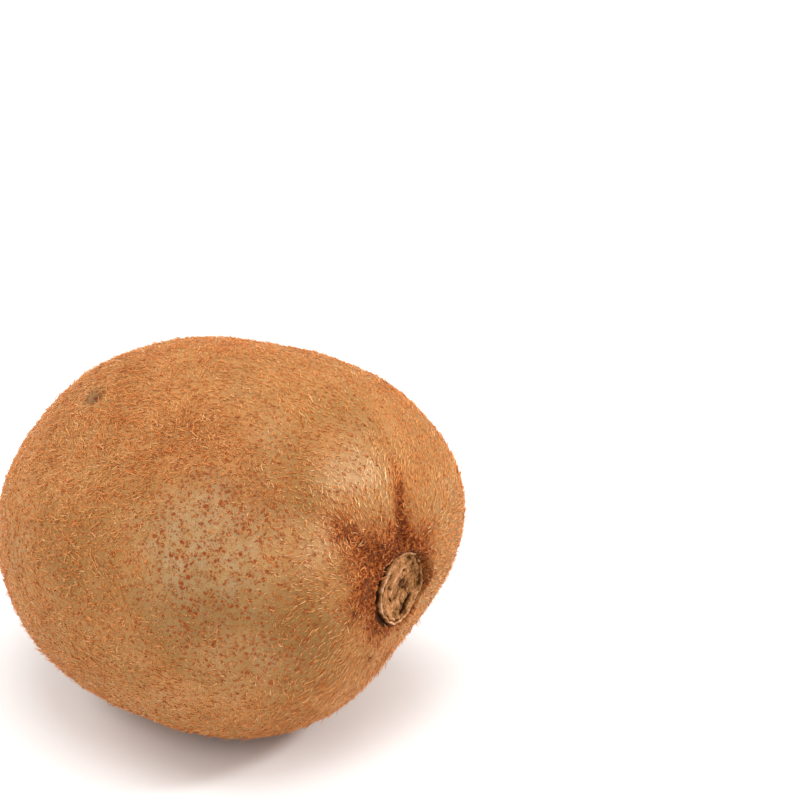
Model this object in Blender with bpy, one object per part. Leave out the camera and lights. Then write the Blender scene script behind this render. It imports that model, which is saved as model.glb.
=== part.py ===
"""One kiwi fruit lying on its side, in metres with +Z up and the stalk end towards +X.

Three solids: the furry fruit, the woody scar that the stalk left at one end, and the
dried styles of the flower at the other. Lengths below are millimetres.
"""

import bmesh
import bpy
import numpy as np
from mathutils import Matrix

METRES_PER_MM = 0.001

# The fruit about its own axis, +X towards the stalk
HALF_LENGTH = 32.2
HALF_WIDTH = 27.9
HALF_HEIGHT = 25.0
STALK_END_FULLNESS = 2.7
FLOWER_END_FULLNESS = 2.27
STALK_END_WIDENING = 0.08
ENDS_BENT_SIDEWAYS = 1.9
ENDS_BENT_UP = -0.9

# How it lies
NOSE_UP_DEG = 5.0
ROLLED_DEG = 11.0
FLAT_SPOT_DEPTH = 0.45

# Gentle bulges and flats of its side: where they point from the middle, height, spread
# in radians
SWELLINGS = (
    ((0.81, 0.21, -0.54), -2.5, 0.38),
    ((-0.83, -0.19, 0.52), -0.7, 0.35),
    ((0.73, 0.68, 0.02), 0.8, 0.35),
    ((0.88, 0.11, 0.47), 0.5, 0.17),
    ((0.91, -0.26, 0.33), 0.4, 0.17),
    ((-0.35, 0.85, -0.40), 0.5, 0.45),
    ((-0.36, -0.85, -0.38), 0.3, 0.40),
    ((0.68, -0.28, -0.68), -0.4, 0.30),
    ((-0.10, 0.90, 0.42), -0.4, 0.35),
)

# The hollow at the stalk end
BASIN_ACROSS = 2.2
BASIN_UP = -2.6
BASIN_DEPTH = 2.2
BASIN_RADIUS = 8.5
LIP_HEIGHT = 0.6
LIP_REACH = 8.2
LIP_SPREAD = 1.5
LIP_TURN_DEG = 150.0

# The flat seat of the scar in it, which leans to its lower right
SEAT_ACROSS = 3.35
SEAT_UP = -3.5
SEAT_X = 28.5
SEAT_RADIUS = 5.7
SEAT_SLOPE = 0.9
SEAT_LEAN_DEG = 9.0
SEAT_LEAN_TURN_DEG = -33.0

# Creases that run out from the scar: turn in degrees, depth, half width, reach
CREASES = (
    (69.0, 1.1, 1.5, 17.0),
    (118.0, 1.0, 1.7, 16.5),
    (168.0, 0.4, 1.6, 11.0),
    (-152.0, 0.5, 1.5, 10.5),
    (-100.0, 0.4, 1.5, 10.0),
    (-48.0, 0.4, 1.5, 10.5),
    (8.0, 0.4, 1.6, 11.0),
)
CREASE_START = 5.0

# The woody scar
SCAR_GAP = 0.3
SCAR_ACROSS = 3.8
SCAR_UP = -3.8
SCAR_RADIUS = 4.85
SCAR_THICKNESS = 0.8
SCAR_RINGS = ((4.4, 0.4, 0.5), (2.55, 0.35, 0.4))
SCAR_EDGE_WAVE = 0.1
SLOT_FROM = (-0.7, -3.7)
SLOT_TO = (2.0, -2.7)
SLOT_DEPTH = 0.6
SLOT_HALF_WIDTH = 0.55

# The pit and the dried styles at the flower end
PIT_DEPTH = 1.1
PIT_RADIUS = 5.0
PIT_SEAT_X = -30.7
PIT_SEAT_RADIUS = 2.9
PIT_SEAT_SLOPE = 1.0
STYLES_RADIUS = 2.3
STYLES_HEIGHT = 1.75
STYLES_HOLLOW = 0.8
STYLES_COUNT = 9
STYLES_NOTCH = 0.7
STYLES_SPLAY = 0.4

# Mesh fineness: segments round and rings along
FRUIT_SEGMENTS = (72, 52)
SCAR_SEGMENTS = (44, 20)
STYLES_SEGMENTS = (44, 14)
RINGS_CROWDED_AT_ENDS = 0.5
SHARP_DEG = 50.0

MATERIALS = {
    "fruit": ((0.44, 0.215, 0.075), 0.85),
    "stem_scar": ((0.31, 0.185, 0.095), 0.8),
    "style_remains": ((0.075, 0.038, 0.018), 0.9),
}


def clear_scene():
    for item in list(bpy.data.objects):
        bpy.data.objects.remove(item, do_unlink=True)


def smooth_step(values, start, end):
    part = np.clip((values - start) / (end - start), 0.0, 1.0)
    return part * part * (3.0 - 2.0 * part)


def unit_sphere(segments):
    """A bmesh ball, and its corners as unit vectors with the poles on the X axis."""
    ball = bmesh.new()
    bmesh.ops.create_uvsphere(ball, u_segments=segments[0], v_segments=segments[1], radius=1.0)
    corners = np.array([corner.co for corner in ball.verts])
    return ball, corners[:, [2, 0, 1]]


def crowd_rings(directions):
    """Moves the rings towards the two poles, where the finer shapes are."""
    share = np.arccos(np.clip(directions[:, 0], -1.0, 1.0)) / np.pi
    crowded = share - RINGS_CROWDED_AT_ENDS * np.sin(2 * np.pi * share) / (2 * np.pi)
    along = np.cos(np.pi * crowded)
    turn = np.arctan2(directions[:, 2], directions[:, 1])
    around = np.sqrt(np.maximum(1.0 - along**2, 0.0))
    return np.stack([along, around * np.cos(turn), around * np.sin(turn)], axis=1)


def egg(directions):
    """The plain body: a full oval, a little wider at the stalk end and bent."""
    along = directions[:, 0]
    fullness = np.where(along > 0, STALK_END_FULLNESS, FLOWER_END_FULLNESS)
    width = np.sqrt(np.maximum(1.0 - np.abs(along) ** fullness, 0.0))
    width *= 1.0 + STALK_END_WIDENING * along
    turn = np.arctan2(directions[:, 2], directions[:, 1])
    x = HALF_LENGTH * along
    y = HALF_WIDTH * width * np.cos(turn) + ENDS_BENT_SIDEWAYS * along**2
    z = HALF_HEIGHT * width * np.sin(turn) + ENDS_BENT_UP * along**2
    return np.stack([x, y, z], axis=1)


def swell(points):
    outward = points / np.linalg.norm(points, axis=1, keepdims=True)
    rise = np.zeros(len(points))
    for direction, height, spread in SWELLINGS:
        aim = np.array(direction) / np.linalg.norm(direction)
        angle = np.arccos(np.clip(outward @ aim, -1.0, 1.0))
        rise += height * np.exp(-((angle / spread) ** 2))
    return points + outward * rise[:, None]


def crease_depth(reach, turn):
    depth = np.zeros(len(reach))
    for degrees, deepest, half_width, furthest in CREASES:
        off = turn - np.radians(degrees)
        aside = reach * np.sin(off)
        ahead = np.cos(off) > 0
        fade = smooth_step(reach, CREASE_START, CREASE_START + 2.0)
        fade *= 1.0 - smooth_step(reach, 0.45 * furthest, furthest)
        depth += np.where(ahead, deepest * fade * np.exp(-((aside / half_width) ** 2)), 0.0)
    return depth


def seat_level(y, z):
    """How far along the fruit the leaning seat is at that place."""
    lean = np.radians(SEAT_LEAN_TURN_DEG)
    aside = (y - SEAT_ACROSS) * np.cos(lean) + (z - SEAT_UP) * np.sin(lean)
    return SEAT_X - np.tan(np.radians(SEAT_LEAN_DEG)) * aside


def hollow_stalk_end(points):
    """Sinks a basin with a lip and creases into the +X end, and the seat of the scar."""
    across = points[:, 1] - BASIN_ACROSS
    up = points[:, 2] - BASIN_UP
    reach, turn = np.hypot(across, up), np.arctan2(up, across)
    sunk = BASIN_DEPTH * np.exp(-((reach / BASIN_RADIUS) ** 2))
    sunk += crease_depth(reach, turn)
    lip = LIP_HEIGHT * (0.5 + 0.5 * np.cos(turn - np.radians(LIP_TURN_DEG)))
    sunk -= lip * np.exp(-(((reach - LIP_REACH) / LIP_SPREAD) ** 2))
    x = points[:, 0] - sunk
    seat = seat_level(points[:, 1], points[:, 2])
    seat_reach = np.hypot(points[:, 1] - SEAT_ACROSS, points[:, 2] - SEAT_UP)
    outside = smooth_step(seat_reach, SEAT_RADIUS, SEAT_RADIUS + SEAT_SLOPE)
    x = seat + (x - seat) * outside
    points[:, 0] = np.where(points[:, 0] > 0, x, points[:, 0])
    return points


def hollow_flower_end(points):
    """Sinks a small pit into the -X end, with a flat seat for the dried styles."""
    reach = np.hypot(points[:, 1] - ENDS_BENT_SIDEWAYS, points[:, 2] - ENDS_BENT_UP)
    x = points[:, 0] + PIT_DEPTH * np.exp(-((reach / PIT_RADIUS) ** 2))
    outside = smooth_step(reach, PIT_SEAT_RADIUS, PIT_SEAT_RADIUS + PIT_SEAT_SLOPE)
    x = PIT_SEAT_X + (x - PIT_SEAT_X) * outside
    points[:, 0] = np.where(points[:, 0] < 0, x, points[:, 0])
    return points


def fruit_points(directions):
    points = swell(egg(crowd_rings(directions)))
    return hollow_flower_end(hollow_stalk_end(points))


def disc_coordinates(directions):
    """Reads a ball as a disc: distance from the middle as a share of the radius, turn,
    and whether the corner is on the outer face."""
    share = np.arccos(np.clip(directions[:, 0], -1.0, 1.0)) / (0.5 * np.pi)
    outer = share <= 1.0
    reach = np.where(outer, share, 2.0 - share)
    turn = np.arctan2(directions[:, 2], directions[:, 1])
    return reach, turn, outer


def slot_depth(across, up):
    start = np.array(SLOT_FROM)
    run = np.array(SLOT_TO) - start
    share = ((across - start[0]) * run[0] + (up - start[1]) * run[1]) / (run @ run)
    share = np.clip(share, 0.0, 1.0)
    away = np.hypot(across - start[0] - share * run[0], up - start[1] - share * run[1])
    return SLOT_DEPTH * np.exp(-((away / SLOT_HALF_WIDTH) ** 2))


def scar_points(directions):
    """A woody button with two raised rings and a slot, lying along its leaning seat."""
    share, turn, outer = disc_coordinates(directions)
    wave = np.sin(3 * turn + 0.7) + 0.7 * np.sin(7 * turn + 2.1) + 0.4 * np.sin(4 * turn)
    reach = share * (SCAR_RADIUS + SCAR_EDGE_WAVE * wave * share**3)
    across = reach * np.cos(turn)
    up = reach * np.sin(turn)
    rise = SCAR_THICKNESS * (1.0 - 0.45 * smooth_step(share, 0.93, 1.0))
    for radius, height, spread in SCAR_RINGS:
        ridge = height * (1.0 + 0.25 * np.sin(3 * turn + 2 * radius))
        rise = rise + ridge * np.exp(-(((reach - radius) / spread) ** 2))
    rise -= slot_depth(across, up)
    y, z = across + SCAR_ACROSS, up + SCAR_UP
    x = seat_level(y, z) + SCAR_GAP + np.where(outer, rise, 0.0)
    return np.stack([x, y, z], axis=1)


def styles_points(directions):
    """A short splayed crown of dried styles, facing -X."""
    share, turn, under = disc_coordinates(directions)
    tooth = 0.5 + 0.35 * np.cos(STYLES_COUNT * turn) + 0.25 * np.cos(14 * turn + 1.0)
    uneven = 1.0 + 0.12 * np.sin(2 * turn + 0.4) + 0.08 * np.sin(3 * turn + 1.9)
    crown = np.exp(-(((share - 0.72) / 0.26) ** 2))
    low = STYLES_HEIGHT - STYLES_HOLLOW
    height = low + (STYLES_HOLLOW + STYLES_NOTCH * (tooth - 0.6)) * crown * uneven
    height *= 1.0 - smooth_step(share, 0.9, 1.0)
    spread = 1.0 + STYLES_SPLAY * crown * tooth * 0.5
    reach = STYLES_RADIUS * share * np.where(under, 1.0, spread)
    x = PIT_SEAT_X - SCAR_GAP - np.where(under, 0.0, height)
    y = reach * np.cos(turn) + ENDS_BENT_SIDEWAYS
    z = reach * np.sin(turn) + ENDS_BENT_UP
    return np.stack([x, y, z], axis=1)


def lying():
    """The turn from the fruit's own axes to how it lies, as a 3 x 3 array."""
    roll = Matrix.Rotation(np.radians(ROLLED_DEG), 3, "X")
    pitch = Matrix.Rotation(-np.radians(NOSE_UP_DEG), 3, "Y")
    return np.array(pitch @ roll)


def cut_flat_spot(ball, level):
    """Cuts the ball level a little above its lowest point and closes the cut."""
    everything = list(ball.verts) + list(ball.edges) + list(ball.faces)
    bmesh.ops.bisect_plane(
        ball, geom=everything, plane_co=(0, 0, level), plane_no=(0, 0, -1), clear_outer=True
    )
    bmesh.ops.holes_fill(ball, edges=[edge for edge in ball.edges if edge.is_boundary])


def make_material(name):
    colour, roughness = MATERIALS[name]
    material = bpy.data.materials.new(name)
    material.use_nodes = True
    shader = material.node_tree.nodes["Principled BSDF"]
    shader.inputs["Base Color"].default_value = (*colour, 1.0)
    shader.inputs["Roughness"].default_value = roughness
    shader.inputs["Metallic"].default_value = 0.0
    return material


def add_object(name, ball, collection):
    mesh = bpy.data.meshes.new(name)
    ball.to_mesh(mesh)
    ball.free()
    mesh.shade_smooth()
    mesh.set_sharp_from_angle(angle=np.radians(SHARP_DEG))
    mesh.materials.append(make_material(name))
    collection.objects.link(bpy.data.objects.new(name, mesh))


def main():
    clear_scene()
    collection = bpy.data.collections.new("kiwi_fruit")
    bpy.context.scene.collection.children.link(collection)
    plans = {
        "fruit": (FRUIT_SEGMENTS, fruit_points),
        "stem_scar": (SCAR_SEGMENTS, scar_points),
        "style_remains": (STYLES_SEGMENTS, styles_points),
    }
    turn = lying()
    balls = {}
    placed = {}
    for name, (segments, formula) in plans.items():
        balls[name], directions = unit_sphere(segments)
        placed[name] = formula(directions) @ turn.T

    together = np.concatenate(list(placed.values()))
    lowest, highest = together.min(axis=0), together.max(axis=0)
    middle = (lowest + highest) / 2
    shift = np.array([-middle[0], -middle[1], -lowest[2] - FLAT_SPOT_DEPTH])
    for name, ball in balls.items():
        for corner, point in zip(ball.verts, (placed[name] + shift) * METRES_PER_MM):
            corner.co = point
    cut_flat_spot(balls["fruit"], 0.0)
    for name, ball in balls.items():
        add_object(name, ball, collection)


main()
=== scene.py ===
"""Looks of one kiwi fruit lying on its side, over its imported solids, in metres.

The skin, the woody stalk scar and the dried styles replace the plain solids, and short
hair stands on the skin. Lengths below are millimetres in the fruit's own axes, with +X
towards the stalk, until the pieces are placed.
"""

import itertools

import bpy
import numpy as np
from mathutils import Matrix, Vector

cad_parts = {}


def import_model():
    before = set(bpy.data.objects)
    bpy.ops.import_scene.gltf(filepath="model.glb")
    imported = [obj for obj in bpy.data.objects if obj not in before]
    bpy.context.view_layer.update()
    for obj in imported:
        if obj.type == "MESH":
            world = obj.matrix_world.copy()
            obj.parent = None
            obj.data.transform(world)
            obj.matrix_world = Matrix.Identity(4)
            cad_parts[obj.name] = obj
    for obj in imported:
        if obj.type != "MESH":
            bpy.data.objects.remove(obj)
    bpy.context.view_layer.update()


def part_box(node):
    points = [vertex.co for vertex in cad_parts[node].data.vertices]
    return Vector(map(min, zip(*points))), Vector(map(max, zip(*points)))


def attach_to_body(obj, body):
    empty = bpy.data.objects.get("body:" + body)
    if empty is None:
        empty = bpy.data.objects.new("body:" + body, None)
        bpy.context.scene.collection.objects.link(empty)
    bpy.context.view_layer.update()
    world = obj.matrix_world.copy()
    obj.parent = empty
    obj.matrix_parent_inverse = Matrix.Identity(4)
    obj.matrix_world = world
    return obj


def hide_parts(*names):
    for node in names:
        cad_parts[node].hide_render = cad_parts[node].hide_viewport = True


METRES_PER_MM = 0.001
BAKE_MAP = "OFBake"
MAP_MARGIN = 0.003
RANDOM_SEED = 7

# The fruit about its own axis, as in its solid
HALF_LENGTH = 32.2
HALF_WIDTH = 27.9
HALF_HEIGHT = 25.0
STALK_END_FULLNESS = 2.7
FLOWER_END_FULLNESS = 2.27
STALK_END_WIDENING = 0.08
ENDS_BENT_SIDEWAYS = 1.9
ENDS_BENT_UP = -0.9
NOSE_UP_DEG = 5.0
ROLLED_DEG = 11.0
RINGS_CROWDED_AT_ENDS = 0.5

# Bulges and flats: where they point from the middle, height, spread in radians
SWELLINGS = (
    ((0.81, 0.21, -0.54), -2.5, 0.38),
    ((-0.83, -0.19, 0.52), -0.7, 0.35),
    ((0.73, 0.68, 0.02), 0.8, 0.35),
    ((0.88, 0.11, 0.47), 0.5, 0.17),
    ((0.91, -0.26, 0.33), 0.4, 0.17),
    ((-0.35, 0.85, -0.40), 0.5, 0.45),
    ((-0.36, -0.85, -0.38), 0.3, 0.40),
    ((0.68, -0.28, -0.68), -0.4, 0.30),
    ((-0.10, 0.90, 0.42), -0.4, 0.35),
)

# The hollow at the stalk end and its lip
BASIN_ACROSS = 2.2
BASIN_UP = -2.6
BASIN_DEPTH = 2.2
BASIN_RADIUS = 8.5
LIP_HEIGHT = 0.6
LIP_REACH = 8.2
LIP_SPREAD = 1.5
LIP_TURN_DEG = 150.0

# The seat of the scar in it, which leans to its lower right
SEAT_ACROSS = 3.35
SEAT_UP = -3.5
SEAT_X = 28.5
SEAT_SLOPE = 0.7
GAP_WIDTH = 0.95
GAP_TURN_DEG = 152.0
COLLAR_HEIGHT = 0.28
SEAT_LEAN_DEG = 9.0
SEAT_LEAN_TURN_DEG = -33.0

# Where the stalk end starts and the flower end stops along the fruit
STALK_END_FROM = 15.0
FLOWER_END_TO = -20.0

# Creases that run out from the scar: turn in degrees, depth, half width, reach
CREASE_START = 5.0
MAIN_CREASE_DEG = 69.0
CREASES = (
    (MAIN_CREASE_DEG, 1.15, 1.2, 17.0),
    (118.0, 1.1, 1.5, 16.5),
    (168.0, 0.4, 1.6, 11.0),
    (-152.0, 0.5, 1.5, 10.5),
    (-100.0, 0.4, 1.5, 10.0),
    (-48.0, 0.4, 1.5, 10.5),
    (8.0, 0.4, 1.6, 11.0),
)

# The pit at the flower end
PIT_DEPTH = 1.1
PIT_RADIUS = 5.0
PIT_SEAT_X = -30.7
PIT_SEAT_RADIUS = 2.9
PIT_SEAT_SLOPE = 1.0

# Fine relief of the skin: size across, height, seed
SKIN_WAVES = ((9.0, 0.14, 11), (3.6, 0.06, 12), (1.5, 0.022, 13))
PUCKER_HEIGHT = 0.15
PUCKER_COUNT = 34
PUCKER_REACH = (5.6, 12.0)
DIMPLE = (-8.6, -6.4, 22.8)
DIMPLE_DEPTH = 1.35
DIMPLE_RADIUS = 1.1
DIMPLE_LIP = 0.3

# How thick the hair is and how green the skin, slowly changing: size across, amount, seed
FUR_WAVES = ((9.0, 0.22, 31), (3.0, 0.2, 32))
OLIVE_WAVES = ((8.0, 0.28, 51), (2.4, 0.2, 52))
# Where the hair is thin or thick: middle, radius, change
FUR_ZONES = (
    ((18.8, -18.5, 13.5), 9.5, -0.85),
    ((24.0, -19.0, 1.0), 9.0, -0.5),
    ((13.0, -26.0, -2.0), 8.0, -0.25),
    ((20.8, -3.9, 21.1), 3.6, -0.35),
    ((29.5, -12.5, -2.5), 6.0, -0.4),
    ((29.6, 13.8, 3.0), 6.0, -0.25),
    ((27.8, 2.0, 15.6), 4.0, -0.5),
    ((-9.1, -6.6, 22.8), 1.7, -1.2),
    ((-15.0, 20.0, -10.0), 12.0, -0.6),
    ((9.0, 26.0, 3.0), 8.0, -0.5),
    ((-19.0, -8.0, -17.0), 10.0, -0.45),
    ((4.0, 7.0, -25.0), 9.0, -0.4),
    ((3.0, -10.0, 23.5), 10.0, 0.2),
)
# Where the skin is greener and darker, its own colour and in places painted shade: middle,
# radius, amount
OLIVE_AND_SHADE_ZONES = (
    ((27.5, -15.0, 2.6), 5.0, 0.9),
    ((29.1, -12.4, -3.3), 5.0, 0.9),
    ((26.5, -6.0, 15.5), 3.6, 0.6),
    ((17.0, -24.0, 5.0), 8.0, 0.6),
    ((2.0, -25.0, 9.0), 8.0, 0.5),
    ((20.8, -3.9, 21.1), 4.0, 0.35),
    ((-16.0, 19.0, -8.0), 10.0, 0.5),
    ((6.0, 25.0, 4.0), 8.0, 0.4),
    ((-18.0, -9.0, -16.0), 9.0, 0.5),
)
# Creases lined with red-brown hair: turn in degrees, half width, where it fades out
RED_CREASES = ((MAIN_CREASE_DEG, 1.2, 12.0, 19.0), (118.0, 2.4, 13.0, 19.0))
# Where hair and skin are a little redder: middle, radius, amount
RED_PATCHES = (
    ((12.7, -9.1, 23.1), 6.0, 0.28),
    ((22.0, -11.0, 17.7), 4.5, 0.2),
    ((29.2, -3.7, 11.5), 3.0, 0.12),
)
# Painted highlight where light glances off the skin's wax and off pale combed hair, with smoother
# skin there too: middle, radius, amount
WAX_AND_HIGHLIGHT_ZONES = (
    ((28.1, 3.1, 15.0), 4.0, 1.0),
    ((27.0, -1.4, 16.3), 3.0, 0.7),
    ((28.9, -8.2, 10.6), 3.6, 0.55),
)

# Where the hair lies flat and even: middle, radius, amount
CALM_ZONES = (
    ((29.2, 13.6, 7.0), 7.0, 1.0),
    ((25.0, 13.0, 15.0), 7.0, 0.7),
    ((28.5, 9.0, 12.0), 4.5, 0.6),
    ((8.0, 6.0, 24.0), 9.0, 0.5),
)

# Mesh fineness: segments round, rings along
SKIN_GRID = (320, 220)
SCAR_GRID = (240, 120)
MOUND_GRID = (90, 36)

# Long hair: how many, in how many objects, then its usual size and lie
LONG_HAIRS = 42900
LONG_PIECES = 3
LONG_LENGTH = 0.54
LONG_HALF_WIDTH = 0.055
LONG_LIFT_DEG = 21.0
LONGEST_AT = (-4.0, -14.0, 21.0)
LONG_SWIRLS = ((6.0, 1.2, 81), (2.2, 1.0, 82))
TINT_WAVES = ((4.0, 0.09, 83), (1.8, 0.12, 85))

# Short hair, and the tufts that show as dots
SHORT_HAIRS = 17000
SHORT_PIECES = 2
SHORT_LENGTH = 0.5
SHORT_HALF_WIDTH = 0.045
SHORT_LIFT_DEG = 26.0
TUFTS = 5000
HAIRS_IN_TUFT = 4
TUFT_SPREAD = 0.11
TUFT_LENGTH = 0.36
TUFT_HALF_WIDTH = 0.095

# All hair; its tints lie side by side across the map
ROOT_DEPTH = 0.06
LOWEST_HAIR = 0.02
TINT_COLUMNS = 256
OFF_EVERY_HAIR = (0.31, -0.47, 0.83)

# The woody scar
SCAR_ACROSS = 3.65
SCAR_UP = -3.8
SCAR_BACK_ABOVE_SEAT = 0.15
SCAR_RADIUS = 4.85
SCAR_PLATE = 0.42
SCAR_STRETCH = 1.07
SCAR_FACE_SHARE = 0.8
RING_GAP = 0.62
ARCH_REACH = 2.6
FIBRES = 46.0
BACK_PALENESS = 0.05
# The wide split and two short cracks: from, to, half width
CRACKS = (
    ((-0.7, -3.7), (2.0, -2.7), 0.42),
    ((-2.8, 0.3), (-2.2, -1.0), 0.18),
    ((2.0, 3.4), (3.3, 2.2), 0.2),
)
# Its unevenness: size across, amount, seed
RIM_WAVES = ((1.1, 0.03, 64), (0.4, 0.012, 65), (2.4, 0.03, 79))
BENDS_ACROSS = ((1.7, 0.32, 60), (0.6, 0.14, 61))
BENDS_UP = ((1.7, 0.32, 62), (0.6, 0.14, 63))
SCAR_ROUGHNESS = ((0.5, 0.05, 72), (0.22, 0.03, 73))
SCAR_BLOTCHES = ((0.7, 0.14, 75), (0.25, 0.12, 76))
SCAR_OUTLINE = ((2.6, 0.28, 77), (0.9, 0.14, 78))

# The dried styles
STYLES_RADIUS = 2.3
STYLES_COUNT = 34
FILAMENTS_COUNT = 60
STRAND_STOPS = 9
STRANDS_REACH = 3.1
OFF_EVERY_STRAND = (0.21, 0.34, 0.92)
MOUND_HEIGHT = 0.75
MOUND_WAVES = ((0.7, 0.2, 71), (0.3, 0.1, 72))
# Sides, swelling of the tip, then least and most: start as a share of the radius,
# length, splay in radians, half width, tone
STYLE = (7, 0.5, (0.05, 0.62), (1.3, 2.1), (0.1, 0.55), (0.1, 0.16), (0.1, 0.6))
FILAMENT = (5, 0.0, (0.5, 0.9), (1.0, 2.2), (0.6, 1.25), (0.035, 0.06), (0.4, 1.0))

# Colours along their ramps
HAIR_TINTS = (
    (0.0, (0.15, 0.026, 0.004)),
    (0.25, (0.385, 0.080, 0.012)),
    (0.5, (0.75, 0.240, 0.050)),
    (0.75, (0.89, 0.435, 0.150)),
    (1.0, (1.0, 0.76, 0.45)),
)
HAIR_ROOT_TO_TIP = ((0.0, (0.55, 0.5, 0.45)), (0.5, (1, 1, 1)), (1.0, (1.1, 1.1, 1.1)))
SCAR_TONES = (
    (0.0, (0.022, 0.007, 0.002)),
    (0.22, (0.10, 0.036, 0.009)),
    (0.5, (0.34, 0.150, 0.050)),
    (0.75, (0.58, 0.275, 0.125)),
    (1.0, (0.84, 0.52, 0.30)),
)
STYLES_TONES = (
    (0.0, (0.028, 0.012, 0.006)),
    (0.4, (0.11, 0.048, 0.021)),
    (0.75, (0.22, 0.095, 0.035)),
    (1.0, (0.42, 0.20, 0.08)),
)
# Radius of the skin's dots as a share of the space between them, least and most
SPECKLE_SIZES = (0.17, 0.47)

# The camera, in metres, and the photographed frame
CAMERA_AT = (0.3344, -0.3555, 0.2812)
CAMERA_RIGHT = (0.7638, 0.6455, 0.0)
CAMERA_UP = (-0.2830, 0.3348, 0.8988)
CAMERA_BACK = (0.5801, -0.6865, 0.4384)
LENS_MM = 183.56
SENSOR_MM = 36.0

# Studio: azimuth, elevation, distance, size in metres, watts
LIGHTS = (
    ("key", 131.0, 33.0, 0.62, 0.12, 1.85),
    ("fill", 5.0, 38.0, 0.70, 0.35, 0.9),
    ("top", 60.0, 84.0, 0.65, 0.50, 2.5),
    ("back", -74.0, 34.0, 0.70, 0.35, 1.8),
)
SKY_STRENGTH = 0.6
HORIZON_STRENGTH = 1.0
FLOOR_COLOUR = (0.96, 0.96, 0.96)
FLOOR_RADIUS = 0.4
FLOOR_SIDES = 96

# Whole numbers that mix a cell's place and a seed into one of 32 bits
CELL_FACTORS = (73856093, 19349663, 83492791)
SEED_FACTOR = 26544357
MIXING = ((15, 0x2C1B3C6D), (12, 0x297A2D39))
LOW_BITS = 0xFFFFFFFF


def smooth_step(values, start, end):
    part = np.clip((values - start) / (end - start), 0.0, 1.0)
    return part * part * (3.0 - 2.0 * part)


def bump(values, middle, spread):
    return np.exp(-(((values - middle) / spread) ** 2))


def unit(vectors):
    return vectors / np.linalg.norm(vectors, axis=-1, keepdims=True)


def along_skin(vectors, normals):
    """What is left of the vectors without their parts along the normals."""
    return vectors - normals * (vectors * normals).sum(axis=1, keepdims=True)


def new_object(name, data):
    made = bpy.data.objects.new(name, data)
    bpy.context.scene.collection.objects.link(made)
    return made


def scattered(cells, seed):
    """A steady value from -1 to 1 for each whole-numbered cell."""
    mixed = seed * SEED_FACTOR
    for axis, factor in enumerate(CELL_FACTORS):
        mixed = mixed ^ (cells[:, axis].astype(np.int64) * factor)
    mixed &= LOW_BITS
    for shift, factor in MIXING:
        mixed = ((mixed ^ (mixed >> shift)) * factor) & LOW_BITS
    return (mixed ^ (mixed >> 15)) / 2.0**31 - 1.0


def wander(points, size, seed):
    """Smooth values from -1 to 1 that change over about that many millimetres."""
    scaled = points / size
    cell = np.floor(scaled)
    part = scaled - cell
    part = part * part * (3.0 - 2.0 * part)
    total = np.zeros(len(points))
    for corner in itertools.product((0, 1), repeat=3):
        weight = np.prod(np.where(corner, part, 1.0 - part), axis=1)
        total += weight * scattered(cell + corner, seed)
    return total


def waves(points, listed):
    """Smooth unevenness added up, each wave listed as size across, height and seed."""
    total = np.zeros(len(points))
    for size, height, seed in listed:
        total += height * wander(points, size, seed)
    return total


def zones(points, listed):
    total = np.zeros(len(points))
    for middle, radius, amount in listed:
        away = np.linalg.norm(points - np.array(middle), axis=1)
        total += amount * bump(away, 0.0, radius)
    return total


def ball(around, along):
    """Unit directions in rings about the X axis, and the quads and triangles between."""
    ring = np.arange(1, along)[:, None] * np.pi / along
    turn = np.arange(around)[None, :] * 2.0 * np.pi / around
    body = [np.cos(ring) + 0.0 * turn, np.sin(ring) * np.cos(turn), np.sin(ring) * np.sin(turn)]
    body = np.stack(body, axis=2).reshape(-1, 3)
    corners = np.concatenate([[[1.0, 0.0, 0.0]], body, [[-1.0, 0.0, 0.0]]])
    column = np.arange(around)
    beside = (column + 1) % around
    row = 1 + np.arange(along - 2)[:, None] * around
    quads = [row + column, row + around + column, row + around + beside, row + beside]
    quads = np.stack(quads, axis=2).reshape(-1, 4)
    last = 1 + (along - 2) * around
    start = np.stack([0 * column, 1 + column, 1 + beside], axis=1)
    end = np.stack([0 * column + len(corners) - 1, last + beside, last + column], axis=1)
    return corners, [quads, start, end]


def ball_map(around, along):
    """Map places for the corners of each face of a ball, unrolled about the X axis."""
    column = np.arange(around) / around
    beside = column + 1.0 / around
    row = 1.0 - (np.arange(1, along - 1)[:, None]) / along + 0.0 * column
    below = row - 1.0 / along
    u = np.stack([0 * row + column, 0 * row + column, 0 * row + beside, 0 * row + beside], 2)
    v = np.stack([row, below, below, row], 2)
    quads = np.stack([u, v], axis=3).reshape(-1, 2)
    middle = column + 0.5 / around
    first = 0 * column + 1.0 - 1.0 / along
    last = 0 * column + 1.0 / along
    start = np.stack([middle, 0 * column + 1.0, column, first, beside, first], 1)
    end = np.stack([middle, 0 * column, beside, last, column, last], 1)
    places = np.concatenate([quads, start.reshape(-1, 2), end.reshape(-1, 2)])
    return MAP_MARGIN + (1.0 - 2.0 * MAP_MARGIN) * places


def ball_polar(directions):
    """How far each is from the first pole, as a share of the way to the other, and its turn."""
    share = np.arccos(np.clip(directions[:, 0], -1.0, 1.0)) / np.pi
    return share, np.arctan2(directions[:, 2], directions[:, 1])


def crowd_rings(directions):
    """Moves the rings towards the two poles, where the finer shapes are."""
    share, turn = ball_polar(directions)
    crowded = share - RINGS_CROWDED_AT_ENDS * np.sin(2 * np.pi * share) / (2 * np.pi)
    along = np.cos(np.pi * crowded)
    around = np.sqrt(np.maximum(1.0 - along**2, 0.0))
    return np.stack([along, around * np.cos(turn), around * np.sin(turn)], axis=1)


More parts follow.
